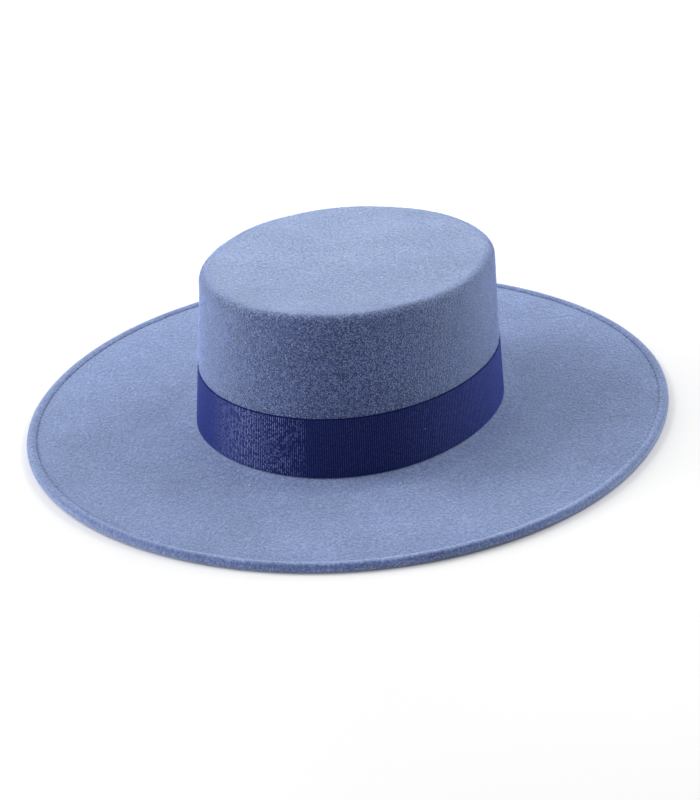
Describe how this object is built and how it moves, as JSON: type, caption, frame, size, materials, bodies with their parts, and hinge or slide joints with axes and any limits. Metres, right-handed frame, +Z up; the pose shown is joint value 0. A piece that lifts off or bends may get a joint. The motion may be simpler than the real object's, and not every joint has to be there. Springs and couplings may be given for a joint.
{
  "type": "gaucho hat",
  "caption": "Wool felt gaucho hat with a flat oval crown, a wide level brim with a folded edge, and a plain grosgrain hatband, resting on its brim.",
  "frame": {"origin": "on the floor under the middle of the hat, at the level of the brim's flat underside", "axes": "+Z up through the crown, +Y along the long axis of the head oval towards the back of the hat, +X to the right seen from the front end looking along +Y"},
  "size_m": [0.364, 0.412, 0.0975],
  "materials": {
    "felt": "matt periwinkle blue wool felt with a short soft nap",
    "ribbon": "navy blue grosgrain ribbon with fine upright ribs and a low silky sheen"
  },
  "bodies": {
    "root": {"felt_body": "felt", "hatband": "ribbon"}
  },
  "joints": []
}
